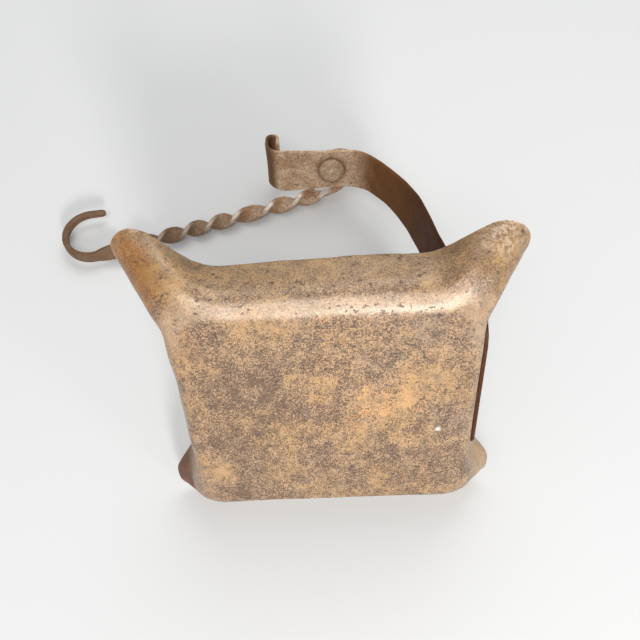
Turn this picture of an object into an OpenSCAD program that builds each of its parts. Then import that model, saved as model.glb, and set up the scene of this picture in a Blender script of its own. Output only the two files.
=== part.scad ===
// Crusie lamp: a nearly square iron pan with a wick spout at each corner, carried by a flat strap
// that is riveted to one side, arches over the pan and holds a swivel with a twisted hook.
//
// Every piece is drawn on a lamp that stands on its base: the stem rises on the +X side,
// +Z points up out of the pan, and the origin is the middle of the pan's base.
// The finished lamp is then laid on its side, on two of its spouts, with the hook folded, and
// the origin stays at the middle of the pan's base.

/* [Pan] */
// Width across the rim, from the stem's side to the side across from it
pan_rim = 104.5; // [94:0.5:124]
// How much longer the rim is the other way
pan_stretch = 4.5; // [0:0.5:10]
// Height of the pan from its base to its rim
pan_depth = 19; // [16:0.5:24]
// Thickness of the pan's iron
pan_wall = 2; // [1.4:0.1:2.4]
// Outward lean of the pan's sides, in degrees
side_lean = 7; // [4:0.5:14]
// Outside radius of the edge between the base and the sides
base_edge_r = 4.5; // [4:0.5:7]
// Radius of the pan's corners, before the spouts are drawn out
corner_r = 8; // [7:0.5:11]

/* [Spouts] */
// Distance from the middle of the pan to the tip of a spout, before the pan's stretch
spout_reach = 88; // [82:1:96]
// Half width of a spout, halfway down its flank
spout_half = 9.8; // [9:0.2:11]
// How late a spout leaves the corner on its way up, where 1 is a straight ramp
spout_lateness = 1.1; // [1:0.1:2]

/* [Stem] */
// Thickness of the strap
strap_t = 1.5; // [1:0.1:2.4]
// Height of the strap's flat top over the pan's base, to its lower face
stem_rise = 149.5; // [135:0.5:170]
// Inward lean of the strap's straight run, in degrees
stem_lean = 8.4; // [5:0.2:11]
// Radius of the bend at the rim, on the strap's inner face
rim_bend_r = 20; // [10:1:26]
// Radius of the long bend over the pan
sweep_r = 102; // [88:1:112]
// Lean at which the long bend gives way to the shoulder, in degrees
sweep_end = 37; // [32:0.5:48]
// Radius of the shoulder, where the strap turns flat
shoulder_r = 14.5; // [9:0.5:20]
// Width of the foot that is riveted to the pan
foot_w = 57; // [44:1:60]
// Height of the foot's lower edge over the pan's base
foot_lift = 6.5; // [5.5:0.5:7.5]
// Width of the strap where it has narrowed, half way up
strap_mid_w = 32; // [26:1:36]
// Width of the strap at the swivel
strap_top_w = 20.4; // [18:0.2:26]
// Width of the tail
tail_w = 21.8; // [20:0.2:25]

/* [Tail] */
// Flat run of the strap from the swivel to the tail's bend
tail_run = 21.5; // [20:0.5:28]
// Radius of the bend that turns the tail away from the pan
tail_bend_r = 8; // [5:0.5:10]
// Straight rise of the tail before it curls
tail_straight = 4; // [1:0.5:8]
// Inside radius of the curl at the end of the tail
curl_r = 1.8; // [1.4:0.1:2.8]
// Straight end of the curl
curl_end = 6; // [3:0.5:8]

/* [Rivets] */
// Diameter of the rivets that hold the foot
rivet_d = 4; // [3:0.5:5]
// Diameter of their heads
rivet_head_d = 8; // [7:0.5:10]
// Height of their heads
rivet_head_h = 0.6; // [0.5:0.1:1.5]
// Height of the rivets over the pan's base
rivet_z = 11.5; // [10.5:0.1:12]
// Distance between the two rivets
rivet_pitch = 32; // [24:1:36]

/* [Swivel] */
// Diameter of the swivel's pin
pin_d = 4.8; // [4:0.2:6]
// Running clearance round the pin and under its head
pin_clearance = 0.05; // [0.02:0.01:0.1]
// Diameter of the pin's domed head
head_d = 12.4; // [10:0.2:13]
// Height of the dome
head_h = 3.8; // [3:0.2:5]
// Centre line radius of the eye at the other end of the pin
pin_eye_r = 6.6; // [6.2:0.2:8]
// Thickness of the eye
pin_eye_wire = 3.8; // [3:0.2:4.2]
// Sideways shift of the eye from the pin's line
pin_eye_shift = 4.4; // [4:0.2:5]
// Gap between the eye and the strap's upper face
pin_eye_gap = 0.4; // [0.3:0.1:1]

/* [Hanger] */
// Centre line radius of the hanger's own eye
hanger_eye_r = 11; // [9.6:0.2:11.8]
// Thickness of that eye
hanger_eye_wire = 3.2; // [2.8:0.2:3.6]
// Angle left open between the end of the rolled eye and the neck, in degrees
eye_opening = 46; // [44:1:60]
// Gap between the two eyes where the hanger hangs
link_gap = 0.25; // [0.2:0.05:0.4]
// Width of the twisted strip
strip_w = 7.6; // [5:0.2:8]
// Thickness of the twisted strip
strip_t = 2.8; // [2.2:0.2:3.4]
// Length from the eye to the start of the hook
strip_length = 118; // [90:1:140]
// Drawn down length next to the eye, before the twist
neck_length = 9; // [8:0.5:14]
// Half turns in the twist
half_turns = 8; // [5:1:10]
// Centre line radius of the hook
hook_r = 12.5; // [9:0.5:16]
// Bend of the hook, in degrees
hook_turn = 190; // [150:5:210]
// Straight tip after the bend
hook_tip = 7; // [3:0.5:12]
// Width of the hook at its tip
hook_tip_w = 3.2; // [2.4:0.2:4]

/* [Folded pose] */
// Angle between the folded hanger and the strap's flat top
fold_angle = 16.5; // [15:0.5:18]
// Dip of the strip out of the plane of its eye
strip_dip = 4; // [3:0.5:7]
// Turn of the hook's plane about the strip
hook_cant = 18; // [0:1:40]
// Tilt of the lamp as it lies on its side, past the upright of its base
lie_tilt = 17.8; // [12:0.1:22]

/* [Hidden] */

$fn = 64;
rust_brown = [0.60, 0.44, 0.31];
strap_tan = [0.66, 0.50, 0.39];
rivet_brown = [0.48, 0.35, 0.26];
steel_grey = [0.62, 0.57, 0.52];

// Small overlap that fuses two solids of one piece
fuse = 0.2;
// Seat gap between two fixed faces
seat_gap = 0.05;

// Pan: the sides lean out from a rounded edge, and reach the rim at pan_rim / 2
rim_half = pan_rim / 2;
diagonal = sqrt(2);
edge_top_z = base_edge_r * (1 - sin(side_lean));
base_half = rim_half - tan(side_lean) * (pan_depth - edge_top_z) - base_edge_r * cos(side_lean);
corner_reach = (rim_half - corner_r) * diagonal + corner_r;
spout_pull = spout_reach - corner_reach;
// How sharply a spout stands out of the pan's sides, and the trace of it that is cut off
swell_power = 10;
swell_trace = 0.01;
arc_steps = 8;
side_steps = 9;
side_crowding = 1.9;
edge_steps = 4;
wall_steps = 5;
outline_count = 4 * (2 * side_steps + arc_steps);

// Stem, drawn as a side view: heading 0 points up, 90 points across the pan
over_rim = 1.5;
foot_run = (pan_depth + over_rim - foot_lift) / cos(side_lean);
foot_x = rim_half - tan(side_lean) * (pan_depth - foot_lift) + seat_gap / cos(side_lean);
lean_rise = stem_rise - foot_lift - foot_run * cos(side_lean)
    - rim_bend_r * (sin(stem_lean) + sin(side_lean))
    - sweep_r * (sin(sweep_end) - sin(stem_lean))
    - shoulder_r * (1 - sin(sweep_end));
lean_run = lean_rise / cos(stem_lean);
shoulder_end_x = foot_x + foot_run * sin(side_lean)
    - rim_bend_r * (cos(side_lean) - cos(stem_lean))
    - lean_run * sin(stem_lean)
    - sweep_r * (cos(stem_lean) - cos(sweep_end))
    - shoulder_r * cos(sweep_end);
head_margin = 0.2;
pin_x = shoulder_end_x - head_d / 2 - head_margin;
flat_run = shoulder_end_x - pin_x + tail_run;
stem_top = stem_rise + strap_t + tail_bend_r + tail_straight + curl_r + 2 * strap_t;

// Swivel and hanger: the hanger's eye goes round the wire of the pin's eye
pin_eye_wire_r = pin_eye_wire / 2;
hanger_wire_r = hanger_eye_wire / 2;
pin_eye_x = pin_x + pin_eye_shift;
pin_eye_z = stem_rise + strap_t + pin_eye_gap + pin_eye_r + pin_eye_wire_r;
hanger_drop = hanger_eye_r - pin_eye_wire_r - hanger_wire_r - link_gap;
hook_arc = hook_r * hook_turn * PI / 180;
// The rolled eye stops short of the strip's neck
eye_turn = 360 - eye_opening - strip_dip;
eye_arc = hanger_eye_r * eye_turn * PI / 180;
strip_step = 1.6;
hook_step = 2;

// Share of the full pull at distance t from a spout's centre line, where the spout's half
// width is w: 1 on the centre line, one half at w, 0 beyond its flanks
function swell(t, w) =
    max(0, 1 / (1 + pow(abs(t) / w, swell_power)) - swell_trace) / (1 - swell_trace);

// One quarter of a rounded square of half width h and corner radius r
function quarter_square(h, r) = concat(
    [for (k = [0 : side_steps - 1]) [h, (h - r) * (1 - pow(1 - k / side_steps, side_crowding))]],
    [for (k = [0 : arc_steps]) [h - r + r * cos(90 * k / arc_steps), h - r + r * sin(90 * k / arc_steps)]],
    [for (k = [side_steps - 1 : -1 : 1]) [(h - r) * (1 - pow(1 - k / side_steps, side_crowding)), h]]
);

// The quarter with its corner drawn out along the diagonal
function spouted_quarter(h, r, pull, w) = [
    for (p = quarter_square(h, r))
        let (draw = pull * swell((p[0] - p[1]) / diagonal, w) / diagonal)
        [p[0] + draw, p[1] + draw]
];

function turned(p, quarter) =
    quarter == 0 ? p :
    quarter == 1 ? [-p[1], p[0]] :
    quarter == 2 ? [-p[0], -p[1]] : [p[1], -p[0]];

// The whole outline at height z, with its two halves moved apart by the stretch
function pan_outline(h, r, pull, w, z) = [
    for (quarter = [0 : 3])
        for (p = spouted_quarter(h, r, pull, w))
            let (q = turned(p, quarter)) [q[0], q[1] + sign(q[1]) * pan_stretch / 2, z]
];

// Share of a spout's full pull at height z over a floor at height floor_z
function rise_share(z, floor_z) = pow(max(0, z - floor_z) / (pan_depth - floor_z), spout_lateness);

// Heights and half widths of the pan's profile, inset from the outside by the thickness given
function profile(inset) = let (edge = base_edge_r - inset) concat(
    [for (k = [0 : edge_steps])
        let (a = -90 + (90 - side_lean) * k / edge_steps)
        [base_half + edge * cos(a), base_edge_r + edge * sin(a)]],
    [for (k = [1 : wall_steps])
        let (
            z0 = base_edge_r - edge * sin(side_lean),
            z = z0 + (pan_depth - z0) * k / wall_steps
        )
        [rim_half - inset / cos(side_lean) - tan(side_lean) * (pan_depth - z), z]]
);

// Rings of one face of the pan, from its floor to its rim
function pan_rings(inset) = [
    for (level = profile(inset))
        pan_outline(
            level[0], corner_r - inset,
            (spout_pull - inset / 2) * rise_share(level[1], inset),
            spout_half - inset, level[1]
        )
];

// Mean of a list of points: a row of equal shares times the list
function mean(list) = [for (p = list) 1 / len(list)] * list;

// Points of a loft: its rings in order, then the middle of each end
function loft_points(rings) = concat(
    [for (ring = rings) for (p = ring) p],
    [mean(rings[0]), mean(rings[len(rings) - 1])]
);

// Triangles of a closed loft through rings of n points, each ring joined to the next
function loft_faces(ring_count, n) = concat(
    [for (k = [0 : n - 1]) [k, (k + 1) % n, ring_count * n]],
    [for (i = [0 : ring_count - 2]) for (k = [0 : n - 1]) [i * n + k, (i + 1) * n + k, i * n + (k + 1) % n]],
    [for (i = [0 : ring_count - 2]) for (k = [0 : n - 1])
        [i * n + (k + 1) % n, (i + 1) * n + k, (i + 1) * n + (k + 1) % n]],
    [for (k = [0 : n - 1])
        [(ring_count - 1) * n + (k + 1) % n, (ring_count - 1) * n + k, ring_count * n + 1]]
);

function reversed(list) = [for (i = [len(list) - 1 : -1 : 0]) list[i]];

all_pan_rings = concat(pan_rings(0), reversed(pan_rings(pan_wall)));

// A low dome on the plane z = 0, cut from a sphere
module dome(r, h) {
    sphere_r = (r * r + h * h) / (2 * h);
    intersection() {
        translate([0, 0, h - sphere_r]) sphere(sphere_r, $fn = 128);
        cylinder(r = r + fuse, h = h + fuse);
    }
}

// Puts its children on the pan's stem side, with +Z out of the iron and Z = 0 on its face
module on_side(y, z) {
    translate([rim_half - tan(side_lean) * (pan_depth - z), y, z])
        rotate([0, 90 + side_lean, 0]) children();
}

module at_rivets() {
    for (side = [-1, 1]) on_side(side * rivet_pitch / 2, rivet_z) children();
}

module rivet_holes() {
    hole_depth = pan_wall + strap_t + seat_gap + 2;
    at_rivets()
        translate([0, 0, -pan_wall - 1]) cylinder(r = rivet_d / 2 + seat_gap, h = hole_depth);
}

module pan() {
    color(rust_brown) difference() {
        polyhedron(loft_points(all_pan_rings), loft_faces(len(all_pan_rings), outline_count), convexity = 8);
        rivet_holes();
    }
}

// A strap's side view is a list of bends, each [radius, first heading, last heading], with a
// straight run as [length] between them. Positive turns bend towards the pan.
function heading_vector(a) = [-sin(a), cos(a)];
function side_vector(a) = [cos(a), sin(a)];

// Points along a bend that starts at p; the radius is measured to the strap's inner face
function bend(p, r, a0, a1, step) =
    let (n = max(2, ceil(abs(a1 - a0) / step)), turn = a1 > a0 ? 1 : -1)
    [for (k = [0 : n])
        let (a = a0 + (a1 - a0) * k / n)
        [p - turn * r * (side_vector(a0) - side_vector(a)), a]];

function last(list) = list[len(list) - 1];

// Inner face of the strap from the foot to the end of the curl, as [point, heading]
foot_start = [foot_x, foot_lift];
foot_end = foot_start + foot_run * heading_vector(-side_lean);
rim_bend = bend(foot_end, rim_bend_r, -side_lean, stem_lean, 5);
lean_end = last(rim_bend)[0] + lean_run * heading_vector(stem_lean);
sweep = bend(lean_end, sweep_r, stem_lean, sweep_end, 2);
shoulder = bend(last(sweep)[0], shoulder_r, sweep_end, 90, 5);
flat_end = last(shoulder)[0] + flat_run * heading_vector(90);
tail_bend = bend(flat_end, tail_bend_r + strap_t, 90, 0, 10);
tail_top = last(tail_bend)[0] + tail_straight * heading_vector(0);
curl = bend(tail_top, curl_r + strap_t, 0, -180, 12);
curl_tip = last(curl)[0] + curl_end * heading_vector(-180);
strap_line = concat(
    [[foot_start, -side_lean]], rim_bend, sweep, shoulder, tail_bend, curl, [[curl_tip, -180]]
);

// Front view of the strap: [height, half width] from the foot to above the tail
taper_top = 0.42 * stem_rise;
function taper(z) = let (k = min(1, max(0, (z - pan_depth) / (taper_top - pan_depth)))) k * k * (3 - 2 * k);
taper_steps = 10;
foot_corner = 3;
// The cutting views reach past the strap by these two margins
view_margin = 1;
wide_margin = 20;
front_view = concat(
    [[foot_lift - view_margin, foot_w / 2 - foot_corner - view_margin],
        [foot_lift + foot_corner, foot_w / 2]],
    [for (k = [0 : taper_steps])
        let (z = pan_depth + (taper_top - pan_depth) * k / taper_steps)
        [z, foot_w / 2 + (strap_mid_w - foot_w) / 2 * taper(z)]],
    [[stem_rise - shoulder_r, strap_top_w / 2], [stem_rise, strap_top_w / 2]],
    [[stem_rise, tail_w / 2 + view_margin], [stem_top + wide_margin, tail_w / 2 + view_margin]]
);

// Plan view of the flat top and the tail: [x, half width]
plan_view = [
    [foot_x + wide_margin, foot_w / 2 + view_margin],
    [shoulder_end_x + shoulder_r, foot_w / 2 + view_margin],
    [shoulder_end_x + shoulder_r, strap_top_w / 2],
    [pin_x - head_d / 2, strap_top_w / 2],
    [pin_x - tail_run, tail_w / 2],
    [pin_x - tail_run - tail_bend_r - 3 * strap_t, tail_w / 2]
];

function mirrored(view) = [for (p = reversed(view)) [p[0], -p[1]]];

module stem() {
    lower_face = [for (s = strap_line) s[0]];
    upper_face = [for (s = strap_line) s[0] + strap_t * side_vector(s[1])];
    color(strap_tan) difference() {
        intersection() {
            rotate([90, 0, 0]) translate([0, 0, -foot_w])
                linear_extrude(2 * foot_w) polygon(concat(lower_face, reversed(upper_face)));
            rotate([0, -90, 0]) translate([0, 0, -2 * rim_half])
                linear_extrude(4 * rim_half) polygon(concat(front_view, mirrored(front_view)));
            linear_extrude(2 * stem_top) polygon(concat(plan_view, mirrored(plan_view)));
        }
        rivet_holes();
        translate([pin_x, 0, stem_rise - 1]) cylinder(r = pin_d / 2 + pin_clearance, h = strap_t + 2);
    }
}

module stem_rivets() {
    color(rivet_brown) at_rivets() {
        translate([0, 0, -pan_wall]) cylinder(r = rivet_d / 2, h = pan_wall + seat_gap + strap_t);
        translate([0, 0, seat_gap + strap_t]) dome(rivet_head_d / 2, rivet_head_h);
        translate([0, 0, -pan_wall]) rotate([180, 0, 0]) dome(rivet_head_d / 2, rivet_head_h);
    }
}

module eye(r, wire_r) {
    rotate([90, 0, 0]) rotate_extrude($fn = 96) translate([r, 0]) circle(wire_r, $fn = 48);
}

// The pin's tail end is bent into an eye that stands across the strap's upper face
module swivel_pin() {
    shank_top = pin_eye_z - sqrt(pow(pin_eye_r, 2) - pow(pin_eye_shift, 2));
    color(rivet_brown) union() {
        translate([pin_x, 0, stem_rise - pin_clearance]) rotate([180, 0, 0]) dome(head_d / 2, head_h);
        translate([pin_x, 0, stem_rise - pin_clearance - fuse])
            cylinder(r = pin_d / 2, h = shank_top - stem_rise + pin_clearance + fuse);
        translate([pin_x, 0, shank_top]) sphere(pin_d / 2);
        translate([pin_eye_x, 0, pin_eye_z]) eye(pin_eye_r, pin_eye_wire_r);
    }
}

// Section of the bar: a rectangle with rounded corners, three points to a corner
section_count = 12;
function bar_section(a, b, corner) = [
    for (turn = [0 : 90 : 270])
        for (step = [15, 45, 75])
            let (
                x = a - corner + corner * cos(turn % 180 == 0 ? step : 90 - step),
                y = b - corner + corner * sin(turn % 180 == 0 ? step : 90 - step)
            )
            [turn == 0 || turn == 270 ? x : -x, turn < 180 ? y : -y]
];

function mix(p, q, k) = p + (q - p) * k;
function clamped(k) = min(1, max(0, k));

// The bar's sizes at distance s from the eye, where s is negative round the eye itself
hook_start_w = 0.78 * strip_w;
eye_tip_share = 0.75;
function neck_share(s) = clamped(s / neck_length);
function hook_share(s) = clamped((s - strip_length) / (hook_arc + hook_tip));
function strip_half_width(s) =
    s <= strip_length - neck_length ? strip_w / 2 :
    s <= strip_length ? mix(strip_w, hook_start_w, (s - strip_length + neck_length) / neck_length) / 2 :
    mix(hook_start_w, hook_tip_w, hook_share(s)) / 2;
function eye_wire_r(s) = hanger_wire_r * mix(eye_tip_share, 1, clamped((s + eye_arc) / neck_length));
function bar_half_width(s) = mix(eye_wire_r(s), strip_half_width(s), neck_share(s));
function bar_half_thickness(s) = mix(eye_wire_r(s), strip_t / 2, neck_share(s));
function bar_corner(s) = mix(eye_wire_r(s), 0.3 * strip_t, neck_share(s));
function bar_twist(s) = 180 * half_turns * clamped((s - neck_length) / (strip_length - neck_length));

// Directions of the strip and of its hook's plane, for an eye round the origin in the XZ plane
along = [cos(strip_dip), 0, sin(strip_dip)];
function across_at(a) = [sin(hook_cant) * sin(a), cos(hook_cant), -sin(hook_cant) * cos(a)];
function up_at(a) = [-cos(hook_cant) * sin(a), sin(hook_cant), cos(hook_cant) * cos(a)];
function eye_point(a) = hanger_eye_r * [-sin(a), 0, cos(a)];

// Heading of the bar round the hook at distance s, and its place in the hook's plane
function bar_heading(s) = hook_turn * clamped((s - strip_length) / hook_arc);
function bar_place(s) =
    let (h = bar_heading(s), tip = max(0, s - strip_length - hook_arc))
    [min(s, strip_length) + hook_r * sin(h) + tip * cos(h), hook_r * (1 - cos(h)) + tip * sin(h)];

// Ring of points round the bar at distance s
function bar_ring(s) =
    let (
        a = strip_dip + max(0, -s) / hanger_eye_r * 180 / PI,
        h = bar_heading(s),
        place = bar_place(max(0, s)),
        p = eye_point(a) + place[0] * along * (s > 0 ? 1 : 0) + place[1] * across_at(a),
        across = cos(h) * across_at(a) - sin(h) * along,
        wide = sin(bar_twist(s)) * across + cos(bar_twist(s)) * up_at(a),
        thin = cos(bar_twist(s)) * across - sin(bar_twist(s)) * up_at(a)
    )
    [for (q = bar_section(bar_half_width(s), bar_half_thickness(s), bar_corner(s))) p + q[0] * wide + q[1] * thin];

eye_rings = ceil(eye_turn / 9);
strip_rings = ceil(strip_length / strip_step);
hook_rings = ceil((hook_arc + hook_tip) / hook_step);
bar_stations = concat(
    [for (k = [eye_rings : -1 : 1]) -eye_arc * k / eye_rings],
    [for (k = [0 : strip_rings]) strip_length * k / strip_rings],
    [for (k = [1 : hook_rings]) strip_length + (hook_arc + hook_tip) * k / hook_rings]
);

// One bar from the end of its rolled eye, down the twisted strip and round the hook to its tip.
// Its eye lies round the origin in the XZ plane and its strip leaves along +X.
module hanger_shape() {
    rings = [for (s = bar_stations) bar_ring(s)];
    polyhedron(loft_points(rings), loft_faces(len(rings), section_count), convexity = 8);
}

module hanger() {
    color(steel_grey)
        translate([
            pin_eye_x - pin_eye_r * cos(fold_angle),
            hanger_drop,
            pin_eye_z - pin_eye_r * sin(fold_angle)
        ])
        rotate([0, 180 - fold_angle, 0]) rotate([-90, 0, 0]) hanger_shape();
}

// Lays the standing lamp on its side, on the tips of its two lower spouts
module laid_down() {
    rotate([-90 - lie_tilt, 0, 0]) children();
}

laid_down() pan();
laid_down() stem();
laid_down() stem_rivets();
laid_down() swivel_pin();
laid_down() hanger();
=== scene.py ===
"""A crusie lamp lying on its side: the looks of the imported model, in the same frame, in metres.

Shapes are worked out in millimetres on a standing lamp (X to the stem, Z up out of the pan) and
then laid down with the lamp. The sizes at the top are the lamp's own driving sizes, as in its CAD.
Angles are in degrees. A pair such as (30, 44) is where something fades in: none at the first
place, all of it at the second.
"""
import math

import bmesh
import bpy
from mathutils import Matrix, Vector, noise


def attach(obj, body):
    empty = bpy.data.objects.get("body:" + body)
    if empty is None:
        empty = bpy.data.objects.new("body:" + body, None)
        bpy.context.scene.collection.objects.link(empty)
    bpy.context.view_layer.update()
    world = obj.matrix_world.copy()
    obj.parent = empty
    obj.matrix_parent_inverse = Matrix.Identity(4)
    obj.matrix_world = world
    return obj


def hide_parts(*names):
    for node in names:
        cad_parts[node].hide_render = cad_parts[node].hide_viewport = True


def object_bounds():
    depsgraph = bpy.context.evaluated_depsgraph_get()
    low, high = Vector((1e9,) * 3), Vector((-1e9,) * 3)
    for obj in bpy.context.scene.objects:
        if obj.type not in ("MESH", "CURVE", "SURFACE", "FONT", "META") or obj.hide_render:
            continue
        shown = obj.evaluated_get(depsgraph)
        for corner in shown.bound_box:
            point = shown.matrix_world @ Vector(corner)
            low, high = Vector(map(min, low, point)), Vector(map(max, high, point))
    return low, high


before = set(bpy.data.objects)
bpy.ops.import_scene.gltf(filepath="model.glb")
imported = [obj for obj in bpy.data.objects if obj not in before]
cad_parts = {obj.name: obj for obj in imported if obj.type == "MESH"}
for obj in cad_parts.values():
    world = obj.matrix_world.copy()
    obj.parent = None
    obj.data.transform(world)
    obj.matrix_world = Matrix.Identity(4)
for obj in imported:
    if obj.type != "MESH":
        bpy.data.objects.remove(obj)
cad_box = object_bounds()

# Without a seed, noise_vector follows the clock and the unevenness is another one in each run
NOISE_SEED = 1
noise.seed_set(NOISE_SEED)

MM = 0.001
LIE_TILT = 17.8
LAY = Matrix.Rotation(math.radians(-90 - LIE_TILT), 4, "X")

# Pan
PAN_RIM = 104.5
PAN_STRETCH = 4.5
PAN_DEPTH = 19.0
PAN_WALL = 2.0
SIDE_LEAN = 7.0
BASE_EDGE_R = 4.5
CORNER_R = 8.0
SPOUT_REACH = 88.0
SPOUT_HALF = 9.8
SPOUT_LATENESS = 1.1
SWELL_POWER = 10
SWELL_TRACE = 0.01
# How far each spout was really drawn out, as a share of the full pull, in turn from +X +Y
SPOUT_SHARES = (0.80, 0.87, 1.0, 0.93)
# How wide each spout was worked, as a share of the even half width, in the same turn
SPOUT_WIDTHS = (1.3, 1.34, 1.0, 1.0)

# Stem
STRAP_T = 1.5
STEM_RISE = 149.5
STEM_LEAN = 8.4
RIM_BEND_R = 20.0
SWEEP_R = 102.0
SWEEP_END = 37.0
SHOULDER_R = 14.5
FOOT_W = 57.0
FOOT_LIFT = 6.5
FOOT_PAST_RIM = 1.5
STRAP_MID_W = 32.0
STRAP_TOP_W = 20.4
TAIL_W = 21.8
TAIL_RUN = 21.5
TAIL_BEND_R = 8.0
TAIL_STRAIGHT = 4.0
CURL_R = 1.8
CURL_END = 6.0
SEAT_GAP = 0.05

# Rivets and swivel
RIVET_HEAD_D = 8.0
RIVET_HEAD_H = 0.6
RIVET_Z = 11.5
RIVET_PITCH = 32.0
PIN_D = 4.8
PIN_CLEARANCE = 0.05
HEAD_D = 12.4
HEAD_H = 3.8
HEAD_MARGIN = 0.2
PIN_EYE_R = 6.6
PIN_EYE_WIRE = 3.8
PIN_EYE_SHIFT = 4.4
PIN_EYE_GAP = 0.4

# Hanger
HANGER_EYE_R = 11.0
HANGER_EYE_WIRE = 3.2
EYE_OPENING = 46.0
LINK_GAP = 0.25
STRIP_W = 7.6
STRIP_T = 2.8
STRIP_LENGTH = 118.0
NECK_LENGTH = 9.0
HALF_TURNS = 8
HOOK_R = 12.5
HOOK_TURN = 190.0
HOOK_TIP = 7.0
HOOK_TIP_W = 3.2
FOLD_ANGLE = 16.5
STRIP_DIP = 4.0
HOOK_CANT = 18.0
# Where the strip stands on edge as the camera sees it, from the eye on: the half turns differ
EDGE_ON = (3.5, 17.5, 32.5, 49.5, 62.0, 74.0, 87.0, 100.0)
EDGE_ON_TWIST = 30.0


# Shared helpers

SHARP_ANGLE = 50
LATHE_WAVE = 3.0


def sin(degrees):
    return math.sin(math.radians(degrees))


def cos(degrees):
    return math.cos(math.radians(degrees))


def tan(degrees):
    return math.tan(math.radians(degrees))


def mix(a, b, k):
    return a + (b - a) * k


def clamped(k):
    return min(1.0, max(0.0, k))


def smooth(k):
    k = clamped(k)
    return k * k * (3 - 2 * k)


def ramp(value, places):
    """0 at the first place, 1 at the second, straight between."""
    start, end = places
    return clamped((value - start) / (end - start))


def fade(value, places):
    """0 at the first place, 1 at the second, smooth between."""
    return smooth(ramp(value, places))


def hammered(p, size, amount, offset=0.0):
    """A slow, even unevenness of forged iron: a small shift of point p, in millimetres."""
    place = Vector((p[0] / size + offset, p[1] / size - offset, p[2] / size))
    return noise.noise_vector(place) * amount


def finish_piece(name, bm, body, nodes):
    """Lays the mesh down with the lamp, shades it and hands it to its body."""
    bmesh.ops.recalc_face_normals(bm, faces=bm.faces)
    mesh = bpy.data.meshes.new(name)
    bm.to_mesh(mesh)
    bm.free()
    mesh.transform(LAY @ Matrix.Scale(MM, 4))
    mesh.shade_smooth()
    mesh.set_sharp_from_angle(angle=math.radians(SHARP_ANGLE))
    obj = bpy.data.objects.new(name, mesh)
    bpy.context.scene.collection.objects.link(obj)
    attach(obj, body)
    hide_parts(*nodes)
    return obj


def loft(bm, rings):
    """A closed tube through rings of equal count, with a fan at each end."""
    grid = [[bm.verts.new(p) for p in ring] for ring in rings]
    count = len(rings[0])
    for low, high in zip(grid, grid[1:]):
        for k in range(count):
            j = (k + 1) % count
            bm.faces.new((low[k], low[j], high[j], high[k]))
    for ring in (grid[0], grid[-1]):
        middle = bm.verts.new(sum((v.co for v in ring), Vector()) / count)
        for k in range(count):
            bm.faces.new((ring[k], ring[(k + 1) % count], middle))


def lathe(bm, profile, segments, place, unevenness=0.0, offset=0.0):
    """Turns a profile of [radius, height] about Z, then places it with a matrix."""
    rings = []
    for r, z in profile:
        ring = []
        for k in range(segments):
            a = 360 * k / segments
            p = Vector((r * cos(a), r * sin(a), z))
            p += hammered(p, LATHE_WAVE, unevenness, offset)
            ring.append(place @ p)
        rings.append(ring)
    loft(bm, rings)


# The pan

RIM_HALF = PAN_RIM / 2
SPOUT_PULL = SPOUT_REACH - (RIM_HALF - CORNER_R) * math.sqrt(2) - CORNER_R
ARC_STEPS = 18
SIDE_STEPS = 22
SIDE_CROWDING = 1.8
EDGE_STEPS = 10
WALL_STEPS = 14
LIP_STEPS = 8
FLOOR_STEPS = 12
ON_AXIS = 1e-6
LIP_R = 0.8
# The edge that faces up as the lamp lies was bent in a wider curve than the other three
UPPER_EDGE_R = 10.0
UPPER_CORNERS = 0.5
UPPER_FADE = 0.3 * RIM_HALF

# What the hammer left on the pan: how much, in millimetres, and where
STEM_SIDE_HOLLOW = 0.45
STEM_SIDE_REACH = 44
STEM_SIDE = (30, 44)
FAR_SIDE_HOLLOW = 0.9
FAR_SIDE_Y = -33
FAR_SIDE_SPREAD = 10
FAR_SIDE = (38, 46)
FAR_RIM_RISE = 2.0
FAR_RIM_DROP = 0.55
FAR_RIM_SLOPE = (0, 40)
FAR_RIM = (34, 42)
FAR_RIM_ENDS = (58, 44)
TIP_RISE = 3.0
TIP_OUT = 1.0
TIP_DIAGONAL = (94, 120)
TIP_SQUARE = (30, 50)
SLOW_WAVE, SLOW_AMOUNT = 17, 0.55
QUICK_WAVE, QUICK_AMOUNT, QUICK_OFFSET = 6, 0.16, 3.1
STILL_BY_STEM = (40, 48)
STILL_BY_FOOT = (36, 30)
STILL_BY_TIPS = (112, 124)
BASE_TOP = 3
BASE_STILLNESS = 0.65
# Beyond this y the side that faces the floor only moves inwards, to stay inside the CAD's box
LOWER_SIDE_Y = 40


def swell(t, w):
    return max(0.0, 1 / (1 + (abs(t) / w) ** SWELL_POWER) - SWELL_TRACE) / (1 - SWELL_TRACE)


def spouted_square(h, r, pull, w, z):
    """Rounded square of half width h at height z, with each corner drawn out along its diagonal."""
    side_points = [
        (h - r) * (1 - (1 - k / SIDE_STEPS) ** SIDE_CROWDING) for k in range(SIDE_STEPS)
    ]
    quarter = [(h, y) for y in side_points]
    quarter += [
        (h - r + r * cos(90 * k / ARC_STEPS), h - r + r * sin(90 * k / ARC_STEPS))
        for k in range(ARC_STEPS + 1)
    ]
    quarter += [(x, h) for x in side_points[:0:-1]]
    outline = []
    for turn in range(4):
        for x, y in quarter:
            beside = (x - y) / math.sqrt(2) / SPOUT_WIDTHS[turn]
            draw = pull * SPOUT_SHARES[turn] * swell(beside, w) / math.sqrt(2)
            x1, y1 = x + draw, y + draw
            for _ in range(turn):
                x1, y1 = -y1, x1
            apart = math.copysign(PAN_STRETCH / 2, y1) if abs(y1) > ON_AXIS else 0.0
            outline.append(Vector((x1, y1 + apart, z)))
    return outline


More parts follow.
